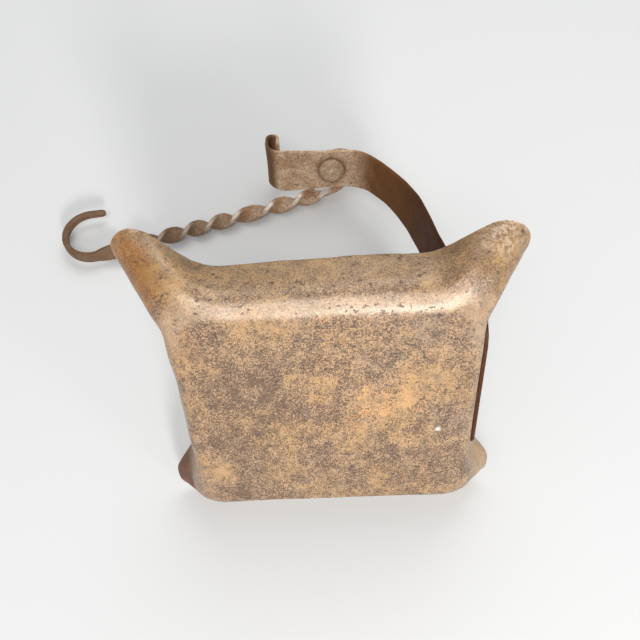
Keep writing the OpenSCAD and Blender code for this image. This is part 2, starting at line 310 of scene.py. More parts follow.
def pan_level(inset, half, z, floor_z):
    """Outline of one face of the pan at height z; the spouts grow from its floor up."""
    share = (max(0.0, z - floor_z) / (PAN_DEPTH - floor_z)) ** SPOUT_LATENESS
    return spouted_square(
        half, CORNER_R - inset, (SPOUT_PULL - inset / 2) * share, SPOUT_HALF - inset, z
    )


def pan_profile(inset, top, edge_r):
    """Half widths and heights of one face of the pan, from the floor up to the height top."""
    edge = edge_r - inset
    edge_top_z = edge_r * (1 - sin(SIDE_LEAN))
    base_half = RIM_HALF - tan(SIDE_LEAN) * (PAN_DEPTH - edge_top_z) - edge_r * cos(SIDE_LEAN)
    profile = []
    for k in range(EDGE_STEPS + 1):
        a = -90 + (90 - SIDE_LEAN) * k / EDGE_STEPS
        profile.append((base_half + edge * cos(a), edge_r + edge * sin(a)))
    z0 = edge_r - edge * sin(SIDE_LEAN)
    for k in range(1, WALL_STEPS + 1):
        z = mix(z0, top, k / WALL_STEPS)
        half = RIM_HALF - inset / cos(SIDE_LEAN) - tan(SIDE_LEAN) * (PAN_DEPTH - z)
        profile.append((half, z))
    return profile


def upper_share(p):
    """1 along the pan's upper side and its two corners, 0 along the lower ones."""
    return smooth((-p.y - UPPER_CORNERS * abs(p.x)) / UPPER_FADE)


def pan_face(inset, top):
    """Rings of one face of the pan, from the edge of its floor up to the height top."""
    rings = []
    levels = zip(pan_profile(inset, top, BASE_EDGE_R), pan_profile(inset, top, UPPER_EDGE_R))
    for (half, z), (upper_half, upper_z) in levels:
        plain = pan_level(inset, half, z, inset)
        upper = pan_level(inset, upper_half, upper_z, inset)
        rings.append([a.lerp(b, upper_share(a)) for a, b in zip(plain, upper)])
    return rings


def floor_rings(edge):
    """Rings across the flat floor, so that it can be uneven too."""
    return [
        [Vector((p.x * k / FLOOR_STEPS, p.y * k / FLOOR_STEPS, p.z)) for p in edge]
        for k in range(1, FLOOR_STEPS)
    ]


def forged_by_hand(p):
    """What sets the pan's sides apart: two hollow sides, a far rim aslant, a raised tip."""
    bow = clamped(1 - (p.y / STEM_SIDE_REACH) ** 2)
    stem_side = -STEM_SIDE_HOLLOW * bow * fade(p.x, STEM_SIDE)
    far_bow = math.exp(-((p.y - FAR_SIDE_Y) / FAR_SIDE_SPREAD) ** 2)
    far_side = -FAR_SIDE_HOLLOW * far_bow * fade(-p.x, FAR_SIDE)
    aslant = fade(-p.y, FAR_RIM) * clamped(p.z / PAN_DEPTH) * ramp(abs(p.x), FAR_RIM_ENDS)
    slope = FAR_RIM_RISE * ramp(-p.x, FAR_RIM_SLOPE) - FAR_RIM_DROP * ramp(p.x, FAR_RIM_SLOPE)
    tip = fade(-p.x - p.y, TIP_DIAGONAL) * ramp(-p.x, TIP_SQUARE) * ramp(-p.y, TIP_SQUARE)
    return Vector((stem_side + far_side - TIP_OUT * tip, aslant * slope, TIP_RISE * tip))


def pan_unevenness(p):
    """Hammered iron, still on the stem's side and at the spouts' tips."""
    by_stem = fade(p.x, STILL_BY_STEM) * fade(abs(p.y), STILL_BY_FOOT)
    by_tip = fade(abs(p.x) + abs(p.y), STILL_BY_TIPS)
    shift = hammered(p, SLOW_WAVE, SLOW_AMOUNT)
    shift += hammered(p, QUICK_WAVE, QUICK_AMOUNT, QUICK_OFFSET)
    shift.z *= 1 - BASE_STILLNESS * fade(p.z, (BASE_TOP, 0))
    if p.z < BASE_TOP:
        shift.z = max(0.0, shift.z)
    if p.y > LOWER_SIDE_Y:
        shift.y = min(0.0, shift.y)
    return shift * (1 - by_stem) * (1 - by_tip) + forged_by_hand(p)


def make_pan():
    outer = pan_face(0, PAN_DEPTH - LIP_R)
    inner = pan_face(PAN_WALL, PAN_DEPTH - LIP_R)
    outer_rim = pan_level(0, RIM_HALF, PAN_DEPTH, 0)
    inner_rim = pan_level(PAN_WALL, RIM_HALF - PAN_WALL / cos(SIDE_LEAN), PAN_DEPTH, PAN_WALL)
    lip = []
    for k in range(1, LIP_STEPS):
        a = 180 * k / LIP_STEPS
        rise = Vector((0, 0, LIP_R * (sin(a) - 1)))
        lip.append([p.lerp(q, (1 - cos(a)) / 2) + rise for p, q in zip(outer_rim, inner_rim)])
    rings = floor_rings(outer[0]) + outer + lip + inner[::-1] + floor_rings(inner[0])[::-1]
    bm = bmesh.new()
    loft(bm, rings)
    for v in bm.verts:
        v.co += pan_unevenness(v.co)
    return finish_piece("pan_forged", bm, "frame", ["pan"])


# The stem: a strap swept along its own side view, as points and headings from foot to curl

FOOT_X = RIM_HALF - tan(SIDE_LEAN) * (PAN_DEPTH - FOOT_LIFT) + SEAT_GAP / cos(SIDE_LEAN)
FOOT_RUN = (PAN_DEPTH + FOOT_PAST_RIM - FOOT_LIFT) / cos(SIDE_LEAN)
RUN_STEP = 2.0
CURL_END_STEP = 1.0
# Steps round the bends, in degrees
BEND_STEP = 3
SWEEP_STEP = 1
TAIL_STEP = 5
CURL_STEP = 8
TAPER_TOP = 0.42 * STEM_RISE
END_ROUNDING = 4
END_NARROWING = 3.5
ACROSS_STEPS = 18
ROUND_STEPS = 6
# The strap's edges are worn in and out along it
EDGE_WEAR = 0.25
EDGE_WEAR_WAVE = 9
EDGE_WEAR_ACROSS = 40
EDGE_WEAR_OFFSET = 0.5
EDGE_WEAR_BAND = 4
STRAP_WAVE, STRAP_AMOUNT, STRAP_OFFSET = 14, 0.35, 7.7
STILL_OVER_RIM = (26, 20)
STILL_ROUND_PIN = (12, 8)
STILL_UNDER_TOP = (STEM_RISE - 12, STEM_RISE - 6)
FLAT_TOP_Z = STEM_RISE - 1


def heading(a):
    return Vector((-sin(a), cos(a)))


def side(a):
    return Vector((cos(a), sin(a)))


def bend(p, r, a0, a1, step):
    count = max(2, math.ceil(abs(a1 - a0) / step))
    turn = 1 if a1 > a0 else -1
    out = []
    for k in range(1, count + 1):
        a = mix(a0, a1, k / count)
        out.append((p - turn * r * (side(a0) - side(a)), a))
    return out


def run(p, a, length, step=RUN_STEP):
    count = max(1, math.ceil(length / step))
    return [(p + heading(a) * length * k / count, a) for k in range(1, count + 1)]


def strap_line():
    """The strap's side view, and the place of the pin along X."""
    line = [(Vector((FOOT_X, FOOT_LIFT)), -SIDE_LEAN)]
    lean_rise = (
        STEM_RISE - FOOT_LIFT - FOOT_RUN * cos(SIDE_LEAN)
        - RIM_BEND_R * (sin(STEM_LEAN) + sin(SIDE_LEAN))
        - SWEEP_R * (sin(SWEEP_END) - sin(STEM_LEAN))
        - SHOULDER_R * (1 - sin(SWEEP_END))
    )
    line += run(line[-1][0], -SIDE_LEAN, FOOT_RUN)
    line += bend(line[-1][0], RIM_BEND_R, -SIDE_LEAN, STEM_LEAN, BEND_STEP)
    line += run(line[-1][0], STEM_LEAN, lean_rise / cos(STEM_LEAN))
    line += bend(line[-1][0], SWEEP_R, STEM_LEAN, SWEEP_END, SWEEP_STEP)
    line += bend(line[-1][0], SHOULDER_R, SWEEP_END, 90, BEND_STEP)
    pin_x = line[-1][0].x - HEAD_D / 2 - HEAD_MARGIN
    line += run(line[-1][0], 90, HEAD_D / 2 + HEAD_MARGIN + TAIL_RUN)
    line += bend(line[-1][0], TAIL_BEND_R + STRAP_T, 90, 0, TAIL_STEP)
    line += run(line[-1][0], 0, TAIL_STRAIGHT)
    line += bend(line[-1][0], CURL_R + STRAP_T, 0, -180, CURL_STEP)
    line += run(line[-1][0], -180, CURL_END, CURL_END_STEP)
    return line, pin_x


STRAP_LINE, PIN_X = strap_line()


def strap_half_width(p, s):
    """Half the strap's width at the side view point p, s along it."""
    x, z = p
    if z < TAPER_TOP:
        half = mix(FOOT_W, STRAP_MID_W, fade(z, (PAN_DEPTH, TAPER_TOP))) / 2
    else:
        half = mix(STRAP_MID_W, STRAP_TOP_W, ramp(z, (TAPER_TOP, STEM_RISE - SHOULDER_R))) / 2
    if z > FLAT_TOP_Z:
        past_head = PIN_X - HEAD_D / 2 - x
        half = mix(STRAP_TOP_W, TAIL_W, clamped(past_head / (TAIL_RUN - HEAD_D / 2))) / 2
    rounded = clamped(s / END_ROUNDING)
    return half - END_NARROWING * (1 - math.sqrt(1 - (1 - rounded) ** 2))


def strap_ring(p, a, half, s):
    """Ring round the strap: its two faces and their rounded edges."""
    r = STRAP_T / 2
    points = []
    for k in range(ACROSS_STEPS + 1):
        points.append((0.0, mix(-half + r, half - r, k / ACROSS_STEPS)))
    for k in range(1, ROUND_STEPS):
        turn = 180 * k / ROUND_STEPS
        points.append((r - r * cos(turn), half - r + r * sin(turn)))
    for k in range(ACROSS_STEPS + 1):
        points.append((STRAP_T, mix(half - r, -half + r, k / ACROSS_STEPS)))
    for k in range(1, ROUND_STEPS):
        turn = 180 * k / ROUND_STEPS
        points.append((r + r * cos(turn), -half + r - r * sin(turn)))
    ring = []
    wave = Vector((s / EDGE_WEAR_WAVE, half / EDGE_WEAR_ACROSS, EDGE_WEAR_OFFSET))
    edge_wear = EDGE_WEAR * noise.noise(wave)
    for out, across in points:
        q = p + side(a) * out
        by_edge = smooth((abs(across) - half + EDGE_WEAR_BAND) / EDGE_WEAR_BAND)
        wear = edge_wear * by_edge * (1 if across > 0 else -1)
        ring.append(Vector((q.x, across + wear, q.y)))
    return ring


def strap_unevenness(p):
    """The strap waves a little, but not at the pan or round the pin."""
    by_pan = fade(p.z, STILL_OVER_RIM)
    by_pin = fade(math.hypot(p.x - PIN_X, p.y), STILL_ROUND_PIN) * fade(p.z, STILL_UNDER_TOP)
    return hammered(p, STRAP_WAVE, STRAP_AMOUNT, STRAP_OFFSET) * (1 - by_pan) * (1 - by_pin)


def make_stem():
    rings = []
    s = 0.0
    last = STRAP_LINE[0][0]
    for p, a in STRAP_LINE:
        s += (p - last).length
        last = p
        rings.append(strap_ring(p, a, strap_half_width(p, s), s))
    bm = bmesh.new()
    loft(bm, rings)
    for v in bm.verts:
        v.co += strap_unevenness(v.co)
    return finish_piece("stem_forged", bm, "frame", ["stem"])


# Rivets and the swivel pin

DOME_STEPS = 12
RIVET_SEGMENTS = 40
RIVET_UNEVENNESS = 0.16
OUTER_OFFSET = 1.7
INNER_OFFSET = 5.3
HEAD_STEPS = 20
HEAD_SEGMENTS = 56
HEAD_UNEVENNESS = 0.22
HEAD_OFFSET = 2.2
SHANK_SEGMENTS = 32
EYE_STEPS = 72
EYE_SECTION_STEPS = 20
# Uneven heads start this much smaller than in the CAD, to stay inside it
RIVET_ROOM = 0.1
HEAD_ROOM = 0.15
# The pin's head: a dome of a share of its full height, its middle raised and a dip round that
HEAD_DOME = 0.82
CROWN_RISE, CROWN_SPREAD = 0.55, 0.26
DIP_DEPTH, DIP_PLACE, DIP_SPREAD = 0.25, 0.45, 0.14
HEAD_EDGE_H = 0.25
NEAR_MIDDLE = 0.02
# Undersides of rivet heads and pin head: shares of the radius, and heights
RIVET_UNDERSIDE = ((0.98, 0.0), (0.5, 0.0))
HEAD_UNDERSIDE = ((0.99, 0.05), (0.5, 0.02))
# The shank reaches a little into the head and tapers into the eye
SHANK_INTO_HEAD = 0.3
SHANK_MIDDLE_R = 0.4
SHANK_TAPER = 0.8
SHANK_TAPER_RUN = 1.3
SHANK_INTO_EYE = 2.0
# The eye's wire, a little thinner than in the CAD and worn at its top
WIRE_ROOM = 0.02
TOP_WEAR = 0.34
WIRE_WAVE, WIRE_AMOUNT, WIRE_OFFSET = 4, 0.08, 1.1
PIN_EYE_X = PIN_X + PIN_EYE_SHIFT
PIN_EYE_Z = STEM_RISE + STRAP_T + PIN_EYE_GAP + PIN_EYE_R + PIN_EYE_WIRE / 2
UPSIDE_DOWN = Matrix.Rotation(math.pi, 4, "X")


def dome_profile(r, h):
    """A low dome from its centre out to its edge, then in again along its flat underside."""
    sphere_r = (r * r + h * h) / (2 * h)
    top = []
    for k in range(DOME_STEPS + 1):
        out = r * k / DOME_STEPS
        top.append((max(NEAR_MIDDLE, out), h - sphere_r + math.sqrt(sphere_r ** 2 - out ** 2)))
    return top + [(r * share, z) for share, z in RIVET_UNDERSIDE]


def on_side(y, z):
    """Places something on the outside of the pan's side at the stem."""
    x = RIM_HALF - tan(SIDE_LEAN) * (PAN_DEPTH - z)
    return Matrix.Translation((x, y, z)) @ Matrix.Rotation(math.radians(90 + SIDE_LEAN), 4, "Y")


def make_rivets():
    bm = bmesh.new()
    dome = dome_profile(RIVET_HEAD_D / 2 - RIVET_ROOM, RIVET_HEAD_H - RIVET_ROOM)
    for k, y in enumerate((-RIVET_PITCH / 2, RIVET_PITCH / 2)):
        outside = on_side(y, RIVET_Z) @ Matrix.Translation((0, 0, SEAT_GAP + STRAP_T))
        inside = on_side(y, RIVET_Z) @ Matrix.Translation((0, 0, -PAN_WALL)) @ UPSIDE_DOWN
        lathe(bm, dome, RIVET_SEGMENTS, outside, RIVET_UNEVENNESS, OUTER_OFFSET * k)
        lathe(bm, dome, RIVET_SEGMENTS, inside, RIVET_UNEVENNESS, INNER_OFFSET + k)
    return finish_piece("stem_rivets_forged", bm, "frame", ["stem_rivets"])


def head_profile():
    """The pin's head, from its middle out to its edge and in again under it."""
    r = HEAD_D / 2 - HEAD_ROOM
    profile = []
    for k in range(HEAD_STEPS + 1):
        share = k / HEAD_STEPS
        rise = HEAD_DOME * HEAD_H * math.sqrt(max(0.0, 1 - share ** 3))
        crown = CROWN_RISE * math.exp(-(share / CROWN_SPREAD) ** 4)
        rise += crown - DIP_DEPTH * math.exp(-((share - DIP_PLACE) / DIP_SPREAD) ** 2)
        profile.append((max(NEAR_MIDDLE, r * share), max(HEAD_EDGE_H, rise - HEAD_ROOM)))
    return profile + [(r * share, z) for share, z in HEAD_UNDERSIDE]


def shank_profile():
    """The pin's shank, from inside its head up into its eye; heights are over the strap's face."""
    top = PIN_EYE_Z - math.sqrt(PIN_EYE_R ** 2 - PIN_EYE_SHIFT ** 2) - STEM_RISE
    return [
        (SHANK_MIDDLE_R, -SHANK_INTO_HEAD),
        (PIN_D / 2, -SHANK_INTO_HEAD),
        (PIN_D / 2, top),
        (PIN_D / 2 * SHANK_TAPER, top + SHANK_TAPER_RUN),
        (SHANK_MIDDLE_R, top + SHANK_INTO_EYE),
    ]


def pin_eye(bm):
    """A closed ring of round wire."""
    grid = []
    for k in range(EYE_STEPS):
        a = 360 * k / EYE_STEPS
        wire_r = (PIN_EYE_WIRE / 2 - WIRE_ROOM) * (1 - TOP_WEAR * smooth(sin(a)))
        ring_r = PIN_EYE_R - PIN_EYE_WIRE / 2 + WIRE_ROOM + wire_r
        centre = Vector((PIN_EYE_X + ring_r * cos(a), 0, PIN_EYE_Z + ring_r * sin(a)))
        out = Vector((cos(a), 0, sin(a)))
        ring = []
        for j in range(EYE_SECTION_STEPS):
            b = 360 * j / EYE_SECTION_STEPS
            p = centre + (out * cos(b) + Vector((0, sin(b), 0))) * wire_r
            ring.append(bm.verts.new(p - hammered(p, WIRE_WAVE, WIRE_AMOUNT, WIRE_OFFSET)))
        grid.append(ring)
    for k in range(EYE_STEPS):
        low, high = grid[k], grid[(k + 1) % EYE_STEPS]
        for j in range(EYE_SECTION_STEPS):
            i = (j + 1) % EYE_SECTION_STEPS
            bm.faces.new((low[j], low[i], high[i], high[j]))


def make_swivel():
    bm = bmesh.new()
    under = Matrix.Translation((PIN_X, 0, STEM_RISE - PIN_CLEARANCE)) @ UPSIDE_DOWN
    lathe(bm, head_profile(), HEAD_SEGMENTS, under, HEAD_UNEVENNESS, HEAD_OFFSET)
    lathe(bm, shank_profile(), SHANK_SEGMENTS, Matrix.Translation((PIN_X, 0, STEM_RISE)))
    pin_eye(bm)
    return finish_piece("swivel_pin_forged", bm, "swivel", ["swivel_pin"])


# The hanger: one bar from its rolled eye, down the twisted strip and round the hook

HOOK_ARC = HOOK_R * math.radians(HOOK_TURN)
EYE_TURN = 360 - EYE_OPENING - STRIP_DIP
EYE_ARC = HANGER_EYE_R * math.radians(EYE_TURN)
HANGER_WIRE_R = HANGER_EYE_WIRE / 2
HOOK_START_W = 0.78 * STRIP_W
BAR_LENGTH = STRIP_LENGTH + HOOK_ARC + HOOK_TIP
HANGER_PLACE = (
    Matrix.Translation((
        PIN_EYE_X - PIN_EYE_R * cos(FOLD_ANGLE),
        HANGER_EYE_R - PIN_EYE_WIRE / 2 - HANGER_WIRE_R - LINK_GAP,
        PIN_EYE_Z - PIN_EYE_R * sin(FOLD_ANGLE),
    ))
    @ Matrix.Rotation(math.radians(180 - FOLD_ANGLE), 4, "Y")
    @ Matrix.Rotation(math.radians(-90), 4, "X")
)
SECTION_STEPS = 6
STRIP_CORNER = 0.3
EYE_END_TAPER = 0.75
TIP_TAPER = 0.6
TIP_TAPER_RUN = 1.5
EYE_STATIONS = 80
BAR_STEP = 0.7
BAR_WAVE, BAR_AMOUNT, BAR_OFFSET = 5, 0.05, 9.0
# The mesh layer that marks the strip's narrow sides, worn bright and painted with glints where the
# strip is on edge
NARROW = "narrow"
NARROW_SIDE = (0.5, 0.8)
NARROW_FULL = 1.4
NARROW_RUN = 3.2


def bar_section(a, b, corner):
    points = []
    for quarter in range(4):
        for k in range(SECTION_STEPS):
            turn = 90 * quarter + 90 * (k + 0.5) / SECTION_STEPS
            sx = 1 if cos(turn) > 0 else -1
            sy = 1 if sin(turn) > 0 else -1
            points.append(
                (sx * (a - corner) + corner * cos(turn), sy * (b - corner) + corner * sin(turn))
            )
    return points


def across_at(a):
    return Vector((sin(HOOK_CANT) * sin(a), cos(HOOK_CANT), -sin(HOOK_CANT) * cos(a)))


def up_at(a):
    return Vector((-cos(HOOK_CANT) * sin(a), sin(HOOK_CANT), cos(HOOK_CANT) * cos(a)))


def bar_twist(s):
    """Twist of the strip: a half turn from each place in EDGE_ON to the next."""
    places = (0.0,) + EDGE_ON + (STRIP_LENGTH,)
    turns = tuple(EDGE_ON_TWIST + 180 * k for k in range(len(EDGE_ON)))
    turns = (0.0,) + turns + (180.0 * HALF_TURNS,)
    for k in range(len(places) - 1):
        if s <= places[k + 1]:
            return mix(turns[k], turns[k + 1], ramp(s, (places[k], places[k + 1])))
    return turns[-1]


def bar_sizes(s):
    """Half width, half thickness and corner radius of the bar at s."""
    neck = clamped(s / NECK_LENGTH)
    wire = HANGER_WIRE_R * mix(EYE_END_TAPER, 1, clamped((s + EYE_ARC) / NECK_LENGTH))
    if s <= STRIP_LENGTH - NECK_LENGTH:
        width = STRIP_W
    elif s <= STRIP_LENGTH:
        width = mix(STRIP_W, HOOK_START_W, (s - STRIP_LENGTH + NECK_LENGTH) / NECK_LENGTH)
    else:
        hook = clamped((s - STRIP_LENGTH) / (HOOK_ARC + HOOK_TIP))
        width = mix(HOOK_START_W, HOOK_TIP_W, hook)
    taper = mix(TIP_TAPER, 1, math.sqrt(clamped((BAR_LENGTH - s) / TIP_TAPER_RUN)))
    sizes = (width / 2, STRIP_T / 2, STRIP_CORNER * STRIP_T)
    return [mix(wire, size, neck) * taper for size in sizes]


def bar_ring(s):
    """Ring round the bar at distance s from its eye; s is negative round the eye."""
    twist = bar_twist(s)
    a = STRIP_DIP + math.degrees(max(0.0, -s) / HANGER_EYE_R)
    h = HOOK_TURN * clamped((s - STRIP_LENGTH) / HOOK_ARC)
    past = max(0.0, s - STRIP_LENGTH - HOOK_ARC)
    along = Vector((cos(STRIP_DIP), 0, sin(STRIP_DIP)))
    u = min(max(0.0, s), STRIP_LENGTH) + HOOK_R * sin(h) + past * cos(h)
    v = HOOK_R * (1 - cos(h)) + past * sin(h)
    p = HANGER_EYE_R * Vector((-sin(a), 0, cos(a))) + along * u + across_at(a) * v
    across = across_at(a) * cos(h) - along * sin(h)
    wide = across * sin(twist) + up_at(a) * cos(twist)
    thin = across * cos(twist) - up_at(a) * sin(twist)
    return [p + wide * x + thin * y for x, y in bar_section(*bar_sizes(s))]


def make_hanger():
    steps = math.ceil(BAR_LENGTH / BAR_STEP)
    stations = [-EYE_ARC + k * EYE_ARC / EYE_STATIONS for k in range(EYE_STATIONS)]
    stations += [k * BAR_LENGTH / steps for k in range(steps + 1)]
    rings = [[HANGER_PLACE @ p for p in bar_ring(s)] for s in stations]
    bm = bmesh.new()
    narrow = bm.verts.layers.float.new(NARROW)
    loft(bm, rings)
    count = len(rings[0])
    for k, v in enumerate(bm.verts):
        v.co += hammered(v.co, BAR_WAVE, BAR_AMOUNT, BAR_OFFSET)
        s = stations[min(k // count, len(stations) - 1)]
        on_narrow = ramp(abs(cos(360 * (k % count + 0.5) / count)), NARROW_SIDE)
        from_edge_on = min(abs(s - place) for place in EDGE_ON)
        v[narrow] = on_narrow * smooth(NARROW_FULL - from_edge_on / NARROW_RUN)
    return finish_piece("hanger_forged", bm, "hanger", ["hanger"])


# Materials: rusted iron, in layers, with sizes in millimetres

class Nodes:
    """A short way to write a node tree. Masks and noise run from 0 to 1, noise mostly near 0.5."""

    def __init__(self, name):
        self.material = bpy.data.materials.new(name)
        self.material.use_nodes = True
        self.tree = self.material.node_tree
        self.tree.nodes.clear()
        output = self.tree.nodes.new("ShaderNodeOutputMaterial")
        self.shader = self.tree.nodes.new("ShaderNodeBsdfPrincipled")
        self.link(self.shader.outputs[0], output.inputs[0])
        coordinates = self.tree.nodes.new("ShaderNodeTexCoord")
        scale = self.tree.nodes.new("ShaderNodeVectorMath")
        scale.operation = "SCALE"
        scale.inputs["Scale"].default_value = 1 / MM
        self.link(coordinates.outputs["Object"], scale.inputs[0])
        self.place = scale.outputs[0]

    def link(self, a, b):
        self.tree.links.new(a, b)

    def surface(self, colour, roughness, relief, specular=0.5, metal=0.0):
        """Gives the shader all that it shows, and hands back the material."""
        self.link(colour, self.shader.inputs["Base Color"])
        self.link(roughness, self.shader.inputs["Roughness"])
        self.link(relief, self.shader.inputs["Normal"])
        self.shader.inputs["Specular IOR Level"].default_value = specular
        if isinstance(metal, (int, float)):
            self.shader.inputs["Metallic"].default_value = metal
        else:
            self.link(metal, self.shader.inputs["Metallic"])
        return self.material

    def noise(self, size, detail=4.0, roughness=0.6, shift=(0, 0, 0), stretch=(1, 1, 1)):
        """Noise whose features are about size millimetres across."""
        mapping = self.tree.nodes.new("ShaderNodeMapping")
        mapping.inputs["Location"].default_value = shift
        mapping.inputs["Scale"].default_value = stretch
        node = self.tree.nodes.new("ShaderNodeTexNoise")
        node.inputs["Scale"].default_value = 1 / size
        node.inputs["Detail"].default_value = detail
        node.inputs["Roughness"].default_value = roughness
        self.link(self.place, mapping.inputs[0])
        self.link(mapping.outputs[0], node.inputs["Vector"])
        return node.outputs["Fac"]

    def grain(self, size):
        return self.noise(size, 4, 0.68)

    def small_pits(self):
        return self.band(self.noise(1.2, 3, 0.6, (4, 1, 9)), 0.60, 0.70)

    def band(self, value, low, high):
        """0 at low, 1 at high, smooth between; low may be the larger of the two."""
        node = self.tree.nodes.new("ShaderNodeMapRange")
        node.interpolation_type = "SMOOTHSTEP"
        node.inputs["From Min"].default_value = low
        node.inputs["From Max"].default_value = high
        self.link(value, node.inputs["Value"])
        return node.outputs["Result"]

    def math(self, operation, a, b):
        node = self.tree.nodes.new("ShaderNodeMath")
        node.operation = operation
        for socket, value in zip(node.inputs, (a, b)):
            if isinstance(value, (int, float)):
                socket.default_value = value
            else:
                self.link(value, socket)
        return node.outputs[0]

    def plus(self, a, b):
        return self.math("ADD", a, b)

    def less(self, a, b):
        return self.math("SUBTRACT", a, b)

    def times(self, a, b):
        return self.math("MULTIPLY", a, b)

    def larger(self, a, b):
        return self.math("MAXIMUM", a, b)

    def capped(self, mask, gain, cap):
        return self.math("MINIMUM", self.times(mask, gain), cap)

    def mix(self, factor, a, b):
        node = self.tree.nodes.new("ShaderNodeMix")
        node.data_type = "RGBA"
        for key, value in ((0, factor), (6, a), (7, b)):
            if isinstance(value, tuple):
                node.inputs[key].default_value = (*value, 1)
            else:
                self.link(value, node.inputs[key])
        return node.outputs[2]

    def tint(self, colour, mask, share, tone):
        """Lays a share of a tone over the colour, where the mask is."""
        return self.mix(self.times(mask, share), colour, tone)

    def axis(self, name):
        node = self.tree.nodes.new("ShaderNodeSeparateXYZ")
        self.link(self.place, node.inputs[0])
        return node.outputs[name]

    def near(self, place, radius):
        """1 at a place on the lamp in millimetres, down to 0 at the radius."""
        node = self.tree.nodes.new("ShaderNodeVectorMath")
        node.operation = "DISTANCE"
        self.link(self.place, node.inputs[0])
        node.inputs[1].default_value = place
        return self.band(node.outputs["Value"], radius, 0)

    def near_any(self, spots):
        mask = self.near(*spots[0])
        for spot in spots[1:]:
            mask = self.larger(mask, self.near(*spot))
        return mask

    def patchy(self, mask, low, high, *noise_settings):
        """A mask broken up by noise."""
        return self.times(mask, self.band(self.noise(*noise_settings), low, high))

    def height(self):
        """Millimetres over the plane of the pan's base."""
        node = self.tree.nodes.new("ShaderNodeVectorMath")
        node.operation = "DOT_PRODUCT"
        self.link(self.place, node.inputs[0])
        node.inputs[1].default_value = (0, cos(LIE_TILT), -sin(LIE_TILT))
        return node.outputs["Value"]

    def marked(self, name):
        """What the mesh itself marks, such as the narrow sides of a bar."""
        node = self.tree.nodes.new("ShaderNodeAttribute")
        node.attribute_name = name
        return node.outputs["Fac"]

    def worn_edges(self, low, high):
        geometry = self.tree.nodes.new("ShaderNodeNewGeometry")
        return self.band(geometry.outputs["Pointiness"], low, high)

    def bump(self, height, relief, below=None):
        """Relief by its depth in millimetres and its strength, over the relief below it."""
        distance, strength = relief
        node = self.tree.nodes.new("ShaderNodeBump")
        node.inputs["Strength"].default_value = strength
        node.inputs["Distance"].default_value = distance * MM
        self.link(height, node.inputs["Height"])
        if below is not None:
            self.link(below, node.inputs["Normal"])
        return node.outputs[0]


# Tones of the pan
PALE_TAN = (0.485, 0.312, 0.175)
WARM_TAN = (0.455, 0.272, 0.115)
ORANGE_TAN = (0.55, 0.30, 0.135)
BROWN_TAN = (0.27, 0.17, 0.095)
SIDE_TAN = (0.45, 0.255, 0.085)
RIM_OLIVE = (0.235, 0.15, 0.062)
ORANGE = (0.70, 0.37, 0.14)
SPOUT_OLIVE = (0.27, 0.18, 0.090)
GOLD_LIT_RIDGE = (0.41, 0.165, 0.027)
# Painted highlight colour along the pan's upper bend
HIGHLIGHT_PALE = (0.64, 0.47, 0.32)
SPOUT_BROWN = (0.27, 0.135, 0.050)
BLUE_GREY = (0.27, 0.215, 0.185)
SPECK_BROWN = (0.105, 0.048, 0.019)
PIT_BLACK = (0.040, 0.024, 0.016)
STAIN_DARK = (0.10, 0.024, 0.003)
STAIN_RED = (0.19, 0.052, 0.008)
BARE_TIP_GLINT = (0.62, 0.47, 0.34)
FLECK_WHITE = (0.88, 0.84, 0.78)
WORN_RIM = (0.46, 0.29, 0.15)

# Spots on the lying lamp: a place and a radius, in millimetres
ORANGE_SPOT = ((14, 3, 8), 38)
OLIVE_SPOT = ((-52, 35, 51), 28)
# Golden rust along the ridge of the upper spout away from the stem, with painted light where that
# ridge is lit
GOLD_LIT_RIDGE_SPOTS = (((-62, 30, 52), 17), ((-54, 27, 42), 17), ((-48, 20, 32), 16))
BROWN_SPOT = ((48, 27, 44), 26)
BLUE_SPOTS = (((30, 12, 38), 14), ((43, -2, -5), 12), ((18, 8, 23), 12))
STAIN_SPOT = ((-60, -1, -60), 30)
TIP_GLINT_SPOT = ((55, 34, 56), 13)
FLECK_SPOT = ((37.3, -2.9, -9.1), 1.6)
# Spots where the dark specks crowd more (below 0) or less (above 0)
CROWDING = ((((-27, 1, 2), 36), -0.05), (((30, -9, -38), 40), -0.02), (((16, 3, 12), 30), 0.03))

# The middle of the swivel's head, where it meets the strap, on the lying lamp
HEAD_PLACE = LAY @ Vector((PIN_X, 0, STEM_RISE))
HEAD_SHADE_R = 9
CROWN_HIGHLIGHT_R = 7.2

# Heights over the base's plane, and one place up the lying lamp, between which layers fade in
SIDE_HEIGHT = (3, 9)
RIM_HEIGHT = (10, 16)
STAIN_HEIGHT = (5, 9)
# The painted highlight along the upper bend: heights where it fades in and out, and how far up the
# lying lamp it starts
HIGHLIGHT_ABOVE = (0.1, 0.9)
HIGHLIGHT_BELOW = (6, 2.2)
HIGHLIGHT_UP = (24, 44)
HIGHLIGHT_RAGGED = 16

# Roughness: the pan's own, and what specks, clumps and the stain add to it
PAN_ROUGHNESS = 0.24
SPECK_ROUGHNESS = 0.05
CLUMP_ROUGHNESS = 0.20
STAIN_ROUGHNESS = 0.5
PAN_SPECULAR = 1.0
IRON_METAL = 0.1
# Relief: how deep in millimetres, and how strongly it shows
PAN_DENTS = (0.5, 0.3)
SPECK_RELIEF = (0.2, 0.4)
PIT_RELIEF = (0.2, 0.5)

# Tones of the strap, from its flat top down to the pan; the darker ones towards the pan are partly
# dark rust and partly painted shade
STRAP_FLAT_DULL = (0.55, 0.345, 0.20)
STRAP_FLAT_PALE = (0.77, 0.54, 0.365)
STRAP_SHOULDER_RUST_AND_SHADE = (0.200, 0.080, 0.022)
STRAP_DARK_RUST_AND_SHADE = (0.048, 0.009, 0.001)
STRAP_FOOT = (0.135, 0.066, 0.030)
STRAP_TAIL_SHADE = (0.13, 0.050, 0.015)
STRAP_GRAIN = (0.10, 0.048, 0.022)
STRAP_PIT = (0.040, 0.022, 0.014)
HEAD_SHADE = (0.12, 0.062, 0.030)
STRAP_EDGE = (0.42, 0.27, 0.16)
